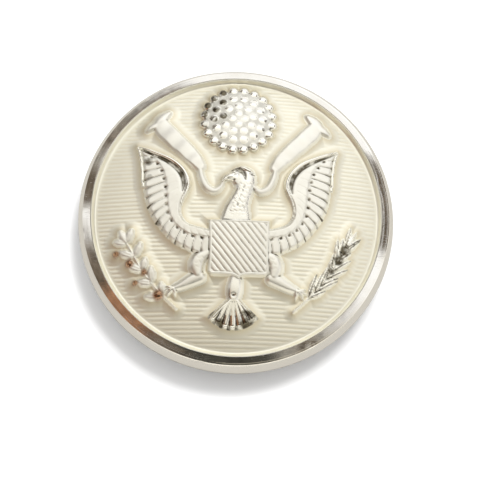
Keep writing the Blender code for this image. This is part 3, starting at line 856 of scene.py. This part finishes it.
def dished_washer():
    """The cup washer, pressed from sheet, with rounded bends and a flat rim."""
    rim, top, foot = WASHER_HIGH.x, WASHER_HIGH.z, WASHER_LOW.z
    bore, sheet, burr, round_edge = 3.47, 0.5, 0.02, 0.08
    upper, lower = foot + sheet, top - sheet
    section = [(bore, upper - burr), (bore + 0.05, upper), (4.2, upper)]
    section += arc((4.2, upper), (4.6, upper + 0.03), (5.0, upper + 0.3), 6)
    section += arc((5.6, upper + 0.66), (6.4, top - 0.02), (6.9, top), 7)
    section += [(6.9, top), (rim - round_edge, top), (rim, top - round_edge)]
    section += [(rim, lower + round_edge), (rim - round_edge, lower)]
    section += arc((7.0, lower), (6.5, lower - 0.01), (5.9, upper + 0.3), 7)
    section += arc((5.3, foot + 0.42), (4.8, foot + 0.03), (4.3, foot), 6)
    section += [(4.3, foot), (bore + 0.05, foot), (bore, foot + burr)]
    return revolve("dished_washer", section, 240)


def pointed_pin(name, side):
    """A locating pin with a turned point and a worn end."""
    radius = (PIN_HIGH.x - PIN_LOW.x) / 2
    centre = side * (PIN_HIGH.x + PIN_LOW.x) / 2
    tip, top = PIN_LOW.z, PIN_HIGH.z
    section = [(0.0, top), (radius, top), (radius, tip + 1.32)]
    section += arc((radius, tip + 1.3), (radius * 0.98, tip + 0.7), (radius * 0.55, tip + 0.22), 6)
    section += arc((radius * 0.55, tip + 0.22), (radius * 0.4, tip + 0.01), (radius * 0.1, tip), 5)
    section += [(0.0, tip)]
    return revolve(name, section, 64, centre=(centre, 0.0))


def solder_fillet(name, low, high, bore, side, seed):
    """A slightly uneven fillet of solder that wets the back plate and its post or pin."""
    reach = (high.x - low.x) / 2
    width = reach - bore
    centre = side * (high.x + low.x) / 2
    top, foot = high.z, low.z
    waves = np.random.default_rng(seed).uniform(0, tau, 3)

    def wobble(radius, turn, height):
        share = np.clip((radius - bore) / width, 0, 1)
        swell = 1 + sum(np.sin(turn * n + w) / n for n, w in zip((2, 3, 5), waves)) / 1.8
        return radius - 0.1 * width * share * swell, height + 0.04 * swell * (height < top - 0.05)

    hollow = (bore + 0.3 * width, top - 0.3 * (top - foot))
    section = [(bore, top), (reach, top), (reach - 0.02, top - 0.05)]
    section += arc((reach - 0.06, top - 0.09), hollow, (bore + 0.08, foot + 0.02), 12)
    section += [(bore + 0.05, foot), (bore, foot + 0.01)]
    return revolve(name, section, 96, wobble, centre=(centre, 0.0), sharp=60)


# === materials ===
def feed(socket, value):
    """Link another socket to this one, or set its constant."""
    if isinstance(value, bpy.types.NodeSocket):
        socket.id_data.links.new(value, socket)
    else:
        socket.default_value = value


def node(tree, kind, values=None, **settings):
    """Add a shader node, with its settings and what feeds its inputs."""
    made = tree.nodes.new("ShaderNode" + kind)
    for key, value in settings.items():
        setattr(made, key, value)
    for key, value in (values or {}).items():
        feed(made.inputs[key], value)
    return made


def new_material(name):
    """A material and the socket that gives each place on the object."""
    material = bpy.data.materials.new(name)
    material.use_nodes = True
    return material, node(material.node_tree, "TexCoord").outputs["Object"]


def noise(vector, size_mm, detail=3.0):
    """Noise whose features are about size_mm across."""
    values = {"Vector": vector, "Scale": 1 / (size_mm * MM), "Detail": detail, "Roughness": 0.55}
    return node(vector.id_data, "TexNoise", values).outputs["Fac"]


def stretched(vector, scale, turn=0.0):
    values = {"Vector": vector, "Rotation": (0, 0, turn), "Scale": scale}
    return node(vector.id_data, "Mapping", values).outputs["Vector"]


def remap(value, low, high, to_low=0.0, to_high=1.0):
    values = {"Value": value, "From Min": low, "From Max": high, "To Min": to_low, "To Max": to_high}
    return node(value.id_data, "MapRange", values).outputs["Result"]


def maths(operation, a, b=0.0, c=0.0):
    return node(a.id_data, "Math", {0: a, 1: b, 2: c}, operation=operation).outputs[0]


def blend_colour(share, a, b):
    """The colour a where the share is 0, and b where it is 1."""
    return node(share.id_data, "Mix", {0: share, 6: a, 7: b}, data_type="RGBA").outputs[2]


def part_of(vector, axis):
    return node(vector.id_data, "SeparateXYZ", {0: vector}).outputs[axis]


def bump(height, strength, distance_mm, under=None):
    """A bumped normal, on top of another one if it is given."""
    values = {"Height": height, "Strength": strength, "Distance": distance_mm * MM}
    if under:
        values["Normal"] = under
    return node(height.id_data, "Bump", values).outputs["Normal"]


def scratches(vector, *sets):
    """Sparse straight scratches, 1 on one, in sets of one turn, length and width in mm."""
    marks = None
    for turn, length, width in sets:
        lines = noise(stretched(vector, (1 / length, 1 / width, 1 / length), turn), 1.0, 1.0)
        fresh = remap(lines, 0.66, 0.72)
        marks = maths("MAXIMUM", marks, fresh) if marks else fresh
    return marks


def finish(material, colour, rough, normal=None, metallic=1.0, specular=0.5):
    """Feed the material's shader, and return the material."""
    inputs = material.node_tree.nodes["Principled BSDF"].inputs
    feed(inputs["Base Color"], colour)
    feed(inputs["Roughness"], rough)
    feed(inputs["Metallic"], metallic)
    feed(inputs["Specular IOR Level"], specular)
    if normal:
        feed(inputs["Normal"], normal)
    return material


def face_metal():
    """Satin silver-gilt, burnished where raised; painted shade in hollows; oxide and painted dark glints in
    cuts; painted glint spots.
    """
    material, where = new_material("satin_silver_gilt")
    polish, raised, hollow, painted_brown_glint, groove = (
        node(where.id_data, "Attribute", attribute_name=name).outputs["Fac"] for name in FACE_SHARES
    )
    patches = noise(where, 7.0)
    satin = blend_colour(remap(patches, 0.35, 0.65), (0.94, 0.92, 0.82, 1), (0.91, 0.89, 0.8, 1))
    # Painted shade: a darker tan in the hollows round the emblem and between the field's lines.
    shaded_tan = blend_colour(maths("MULTIPLY", hollow, 0.8), satin, (0.76, 0.68, 0.49, 1))
    bright = blend_colour(patches, (0.89, 0.875, 0.825, 1), (0.84, 0.82, 0.755, 1))
    colour = blend_colour(raised, shaded_tan, bright)
    patchy = remap(noise(where, 1.1), 0.38, 0.56, 0.3, 1.0)
    # Dark in the cuts: partly oxide, partly painted dark reflections; the spots are painted dark glints, and
    # between the inner beads it is painted shade.
    oxide_and_dark_glints = maths("MULTIPLY", remap(groove, 0.3, 0.9), patchy)
    colour = blend_colour(oxide_and_dark_glints, colour, (0.13, 0.113, 0.08, 1))
    # Painted brown reflections on the berries.
    colour = blend_colour(maths("MULTIPLY", painted_brown_glint, 0.9), colour, (0.33, 0.16, 0.07, 1))
    grain = noise(where, 0.055, 2.0)
    smudge = remap(noise(where, 1.6, 4.0), 0.3, 0.7, -0.04, 0.05)
    satin_rough = maths("ADD", remap(grain, 0.3, 0.7, 0.46, 0.56), smudge)
    rough = maths("MULTIPLY", satin_rough, remap(polish, 0.2, 0.95, 1.0, 0.16))
    marks = scratches(where, (0.6, 5.0, 0.07), (-0.9, 4.0, 0.06))
    return finish(material, colour, rough, bump(marks, 0.1, 0.01, bump(grain, 0.12, 0.02)))


def rim_metal():
    """Mirror-polished plate with hair scratches, handling smears and a few pits."""
    material, where = new_material("mirror_silver")
    smear = noise(where, 3.0, 5.0)
    tint = blend_colour(remap(smear, 0.35, 0.7), (0.9, 0.885, 0.85, 1), (0.84, 0.81, 0.75, 1))
    # The skirt below the crease gets a darker tint: painted shade for the darker reflection it shows.
    skirt = remap(part_of(where, "Z"), (RIM_TOP - 0.62) * MM, (RIM_TOP - 0.46) * MM, 1.0, 0.0)
    tint = blend_colour(skirt, tint, (0.8, 0.775, 0.73, 1))
    rough = maths("ADD", remap(smear, 0.35, 0.75, 0.045, 0.13), maths("MULTIPLY", skirt, 0.12))
    pits = remap(noise(where, 0.22, 1.0), 0.74, 0.8)
    dimpled = bump(pits, 0.25, 0.03, bump(noise(where, 0.9, 2.0), 0.05, 0.06))
    hairs = scratches(where, (0.3, 3.0, 0.04), (1.3, 2.2, 0.035))
    return finish(material, tint, rough, bump(hairs, 0.12, 0.008, dimpled))


def turned_brass(name, bright, dull, ring_mm):
    """Brass with fine turning rings, tarnish clouds and handling scratches."""
    material, where = new_material(name)
    clouds = noise(where, 2.6, 4.0)
    colour = blend_colour(remap(clouds, 0.42, 0.68), bright, dull)
    speck = remap(noise(where, 0.12, 2.0), 0.3, 0.7, -0.03, 0.05)
    rough = maths("ADD", remap(clouds, 0.3, 0.7, 0.2, 0.4), speck)
    values = {"Vector": where, "Scale": tau / (20 * ring_mm * MM), "Distortion": 0.6, "Detail": 2.0}
    rings = node(where.id_data, "TexWave", values, wave_type="RINGS", rings_direction="Z").outputs["Fac"]
    marks = scratches(where, (0.9, 3.5, 0.05))
    return finish(material, colour, rough, bump(marks, 0.15, 0.012, bump(rings, 0.22, 0.012)))


def back_nickel():
    """Straight-brushed nickel with long scratches and faint stains."""
    material, where = new_material("brushed_nickel")
    brushed = noise(stretched(where, (0.04, 1.0, 1.0)), 0.06, 2.0)
    stained = noise(where, 5.0, 4.0)
    colour = blend_colour(remap(stained, 0.4, 0.7), (0.66, 0.64, 0.59, 1), (0.5, 0.46, 0.38, 1))
    rough = maths("ADD", remap(brushed, 0.3, 0.7, 0.26, 0.4), remap(stained, 0.4, 0.7, 0.0, 0.08))
    marks = scratches(where, (1.1, 7.0, 0.07), (-0.5, 5.0, 0.06))
    return finish(material, colour, rough, bump(marks, 0.2, 0.02, bump(brushed, 0.12, 0.01)))


def soft_solder():
    """Dull tin-lead solder, frosted, with darker flux stains."""
    material, where = new_material("soft_solder")
    frost = noise(where, 0.1)
    flux = remap(noise(where, 0.9), 0.45, 0.65)
    colour = blend_colour(flux, (0.55, 0.56, 0.57, 1), (0.3, 0.27, 0.21, 1))
    return finish(material, colour, remap(frost, 0.3, 0.7, 0.34, 0.58), bump(frost, 0.25, 0.03), metallic=0.9)


def pressed_card():
    """Grey-brown card with fibres and flecks."""
    material, where = new_material("pressed_card")
    fibre = noise(stretched(where, (0.3, 1.0, 1.0), 0.4), 0.16, 4.0)
    fleck = remap(noise(where, 0.35, 2.0), 0.62, 0.7)
    colour = blend_colour(fibre, (0.34, 0.27, 0.19, 1), (0.24, 0.19, 0.13, 1))
    colour = blend_colour(fleck, colour, (0.14, 0.11, 0.09, 1))
    return finish(material, colour, 0.92, bump(fibre, 0.35, 0.04), metallic=0.0)


def mild_steel():
    """Rolled mild steel with mill scale and light rust spots."""
    material, where = new_material("mild_steel")
    scale = noise(where, 1.2, 4.0)
    rust = remap(noise(where, 0.5, 4.0), 0.62, 0.72)
    colour = blend_colour(scale, (0.38, 0.38, 0.39, 1), (0.26, 0.26, 0.28, 1))
    colour = blend_colour(rust, colour, (0.3, 0.13, 0.06, 1))
    rough = remap(scale, 0.3, 0.7, 0.32, 0.52)
    return finish(material, colour, rough, bump(scale, 0.15, 0.02), metallic=remap(rust, 0.0, 1.0, 1.0, 0.2))


# === assembly ===
def fit(piece, cad_node, body, material):
    """Give a new piece its material, body and slot in the place of a CAD node."""
    piece.data.materials.append(material)
    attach(piece, body)
    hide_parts(cad_node)


def repaint(cad_node, material):
    """Give a CAD node that stays a better material."""
    for material_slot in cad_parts[cad_node].material_slots:
        material_slot.material = material


def dress():
    """Make every visible piece of the badge."""
    post_brass = turned_brass("post_brass", (0.78, 0.6, 0.3, 1), (0.48, 0.33, 0.15, 1), 0.1)
    nut_brass = turned_brass("nut_brass", (0.8, 0.61, 0.3, 1), (0.5, 0.34, 0.15, 1), 0.14)
    solder = soft_solder()
    fit(struck_face(), "face_plate", "badge", face_metal())
    fit(polished_rim(), "bezel_ring", "badge", rim_metal())
    fit(turned_post(), "screw_post", "badge", post_brass)
    fit(dished_washer(), "cup_washer", "washer", nut_brass)
    fit(knurled_nut(), "thumb_nut", "nut", nut_brass)
    post_bore = THREAD_RADIUS + 0.15
    ring = solder_fillet("post_solder", SOLDER_LOW, SOLDER_HIGH, post_bore, 1, 3)
    fit(ring, "post_solder_ring", "badge", solder)
    pin_bore = (PIN_HIGH.x - PIN_LOW.x) / 2 + 0.05
    for side, word in ((-1, "left"), (1, "right")):
        pin = pointed_pin("pointed_pin_" + word, side)
        fit(pin, "locating_pin_" + word, "badge", post_brass)
        name = "solder_pin_" + word
        ring = solder_fillet(name, PIN_SOLDER_LOW, PIN_SOLDER_HIGH, pin_bore, side, 7 + side)
        fit(ring, "pin_solder_" + word, "badge", solder)
    repaint("back_plate", back_nickel())
    repaint("packing_disc", pressed_card())
    repaint("anchor_plate", mild_steel())


# === floor, camera and light ===
CAMERA_AZIMUTH = radians(-4.689)
CAMERA_ELEVATION = radians(71.974)
CAMERA_ROLL = radians(6.013)
CAMERA_DISTANCE = 0.3  # from the centre of the bevel's inner edge
CAMERA_LENS = 178.49
CAMERA_SHIFT = (0.00726, -0.05174)


def camera_axes():
    """Right, up and back directions of the camera."""
    a, e = CAMERA_AZIMUTH, CAMERA_ELEVATION
    back = Vector((sin(a) * cos(e), -cos(a) * cos(e), sin(e)))
    right = Vector((cos(a), sin(a), 0.0))
    up = back.cross(right)
    c, s = cos(CAMERA_ROLL), sin(CAMERA_ROLL)
    return right * c + up * s, up * c - right * s, back


def make_camera():
    data = bpy.data.cameras.new("camera")
    data.lens = CAMERA_LENS
    data.sensor_width = 36.0
    data.shift_x, data.shift_y = CAMERA_SHIFT
    data.clip_start, data.clip_end = 0.01, 20.0
    camera = add_object("camera", data)
    axes = camera_axes()
    place = Vector((0, 0, RIM_TOP * MM)) + axes[2] * CAMERA_DISTANCE
    camera.matrix_world = Matrix.Translation(place) @ Matrix(axes).transposed().to_4x4()
    bpy.context.scene.camera = camera


FLOOR_REACH = 4.0  # metres from the middle to each side
FLOOR_DROP = 0.00002


def make_floor():
    """A plain pale floor, which is darker in reflections than to the eye."""
    mesh = bpy.data.meshes.new("floor")
    corners = [(x * FLOOR_REACH, y * FLOOR_REACH, 0) for x, y in ((-1, -1), (1, -1), (1, 1), (-1, 1))]
    mesh.from_pydata(corners, [], [(0, 1, 2, 3)])
    floor = add_object("floor", mesh)
    floor.location.z = CAD_LOW.z - FLOOR_DROP
    material, where = new_material("pale_floor")
    reflected = node(where.id_data, "LightPath").outputs["Is Glossy Ray"]
    colour = blend_colour(reflected, (0.93, 0.93, 0.93, 1), (0.48, 0.465, 0.43, 1))
    mesh.materials.append(finish(material, colour, 0.9, metallic=0.0, specular=0.1))


KEY_BEARING = radians(52)  # from +X towards +Y
KEY_ELEVATION = radians(76)
KEY_DISTANCE = 0.6
KEY_SIZE = 0.16
KEY_POWER = 2.5


def make_light():
    """One soft square light, high at the back right, which metal doesn't reflect."""
    data = bpy.data.lights.new("key", "AREA")
    data.shape = "SQUARE"
    data.size = KEY_SIZE
    data.energy = KEY_POWER
    key = add_object("key", data)
    level = cos(KEY_ELEVATION)
    away = Vector((cos(KEY_BEARING) * level, sin(KEY_BEARING) * level, sin(KEY_ELEVATION)))
    key.location = away * KEY_DISTANCE
    key.rotation_mode = "QUATERNION"
    key.rotation_quaternion = away.to_track_quat("Z", "Y")
    key.visible_glossy = False
    bpy.context.scene.view_settings.view_transform = "Standard"
    bpy.context.scene.view_settings.look = "None"


# The mirror rim reflects flags that stand round the table.  Each has its bearings on the rim,
# in degrees from +X towards +Y, and its colour, and they blend into the next.  The inner and
# the outer half of the bevel see their own.
WHITE = (1.12, 1.12, 1.11)
SILVER = (0.68, 0.66, 0.64)
SLATE = (0.36, 0.34, 0.3)
TAUPE = (0.2, 0.165, 0.13)
UMBER = (0.14, 0.11, 0.08)
COPPER = (0.36, 0.185, 0.1)
PITCH = (0.055, 0.052, 0.042)
INNER_FLAGS = [
    (0, 25, UMBER), (30, 106, WHITE), (113, SLATE), (119, 150, TAUPE), (158, SILVER), (165, 176, UMBER),
    (180, 188, WHITE), (194, SLATE), (199, UMBER), (207, TAUPE), (214, 232, COPPER), (240, UMBER),
    (249, 283, PITCH), (290, SLATE), (299, TAUPE), (304, SLATE), (312, 323, SILVER), (328, 346, WHITE),
    (350, UMBER),
]
OUTER_FLAGS = [
    (0, 22, UMBER), (28, 108, WHITE), (117, SILVER), (136, SLATE), (150, TAUPE), (158, SLATE),
    (166, UMBER), (176, TAUPE), (180, WHITE), (188, SILVER), (196, TAUPE), (208, UMBER),
    (217, 230, COPPER), (238, 246, UMBER), (256, 262, 284, PITCH), (291, SLATE), (298, UMBER),
    (305, SLATE), (313, SILVER), (328, 345, WHITE), (349, UMBER),
]
GLINT_LINE = [
    (0, 26, SILVER), (29, 211, PITCH), (220, SLATE), (243, SILVER), (258, SLATE), (266, 343, PITCH),
    (349, SILVER),
]
GLINT_TILT = (30.0, 26.0)  # surface tilt of a thin bright line, at the left and the right
FLAG_TILT = (20.2, 21.0)  # surface tilt, in degrees, from which the flags are seen
SKY_BRIGHT_SIDE = (0.17, 0.985, 0.0)
SKY_DIM = (0.75, 0.7, 0.57, 1)
SKY_BRIGHT = (1.49, 1.49, 1.45, 1)
SKY_FRONT = (1.3, 1.27, 1.15, 1)  # low in front of the camera


def vector_maths(operation, vector, other=(0, 0, 0), scale=1.0):
    values = {0: vector, 1: other, 3: scale}
    return node(vector.id_data, "VectorMath", values, operation=operation).outputs


def flag_ring(turn, flags):
    """The colours of a ring of flags, where turn is a share of the whole ring."""
    ramp = node(turn.id_data, "ValToRGB", {"Fac": turn})
    stops = [(bearing, colour) for *bearings, colour in flags for bearing in bearings]
    for _ in stops[2:]:
        ramp.color_ramp.elements.new(0.5)
    for element, (bearing, colour) in zip(ramp.color_ramp.elements, stops):
        element.position = bearing / 360
        element.color = (*colour, 1)
    return ramp.outputs["Color"]


def flag_colour(bearing, tilt):
    """Both rings of flags, with a thin bright line across them and soft streaks."""
    turn = maths("FRACT", maths("ADD", maths("DIVIDE", bearing, tau), 1.0))
    outer_share = remap(tilt, radians(24), radians(28))
    flags = blend_colour(outer_share, flag_ring(turn, INNER_FLAGS), flag_ring(turn, OUTER_FLAGS))
    line_tilt = remap(maths("COSINE", bearing), 0.0, 0.9, *(radians(t) for t in GLINT_TILT))
    off_line = maths("ABSOLUTE", maths("SUBTRACT", tilt, line_tilt))
    line = remap(off_line, radians(0.4), radians(1.1), 1.0, 0.0)
    glint = blend_colour(line, (0, 0, 0, 1), flag_ring(turn, GLINT_LINE))
    flags = vector_maths("MAXIMUM", flags, glint)[0]
    values = {"X": maths("MULTIPLY", bearing, 14.0), "Y": maths("MULTIPLY", tilt, 6.0)}
    values = {"Vector": node(tilt.id_data, "CombineXYZ", values).outputs[0], "Scale": 1.6, "Detail": 4.0}
    streaks = node(tilt.id_data, "TexNoise", values).outputs["Fac"]
    darkness = remap(part_of(flags, "X"), 0.5, 0.9, 1.0, 0.0)
    sway = maths("MULTIPLY", darkness, remap(streaks, 0.3, 0.7, -0.5, 0.5))
    return vector_maths("SCALE", flags, scale=maths("ADD", sway, 1.0))[0]


def flag_share(bearing, tilt):
    """1 where the flags stand and 0 above and below them."""
    inside = remap(tilt, *(radians(t) for t in FLAG_TILT))
    sidewards = maths("COSINE", maths("SUBTRACT", bearing, radians(170)))
    beyond = maths("SUBTRACT", tilt, remap(sidewards, -0.1, 0.8, radians(32), radians(52)))
    return maths("MULTIPLY", inside, remap(beyond, 0.0, radians(4), 1.0, 0.0))


def sky_colour(direction, bearing, tilt):
    """A sky that is brighter on one side and low in front of the camera."""
    lit = vector_maths("DOT_PRODUCT", direction, SKY_BRIGHT_SIDE)["Value"]
    sky = blend_colour(remap(lit, -0.45, 0.8), SKY_DIM, SKY_BRIGHT)
    front = remap(maths("SINE", bearing), -0.1, -0.7)
    glow = maths("MULTIPLY", front, remap(tilt, radians(37), radians(50)))
    return blend_colour(glow, sky, SKY_FRONT)


def make_world():
    """Even pale light for diffuse rays; a graded sky and the ring of flags for glossy rays.

    A reflection's bearing and tilt are those of the surface that shows it to the camera.
    """
    world = bpy.data.worlds.new("studio")
    bpy.context.scene.world = world
    world.use_nodes = True
    tree = world.node_tree
    tree.nodes.clear()
    direction = node(tree, "TexCoord").outputs["Generated"]
    surface = vector_maths("ADD", direction, tuple(camera_axes()[2]))[0]
    surface = vector_maths("NORMALIZE", surface)[0]
    bearing = maths("ARCTAN2", part_of(surface, "Y"), part_of(surface, "X"))
    tilt = maths("ARCCOSINE", part_of(surface, "Z"))
    sky = sky_colour(direction, bearing, tilt)
    mirror = blend_colour(flag_share(bearing, tilt), sky, flag_colour(bearing, tilt))
    height = maths("MAXIMUM", part_of(direction, "Z"), 0.0)
    overhead = maths("MULTIPLY_ADD", maths("POWER", height, 2.0), 1.7, 0.13)
    plain = node(tree, "CombineColor", {"Red": overhead, "Green": overhead, "Blue": overhead})
    rays = node(tree, "LightPath").outputs
    backdrop = blend_colour(rays["Is Camera Ray"], plain.outputs[0], (0.96, 0.96, 0.96, 1))
    colour = blend_colour(rays["Is Glossy Ray"], backdrop, mirror)
    background = node(tree, "Background", {"Color": colour})
    node(tree, "OutputWorld", {0: background.outputs[0]})


make_camera()
dress()
make_floor()
make_world()
make_light()
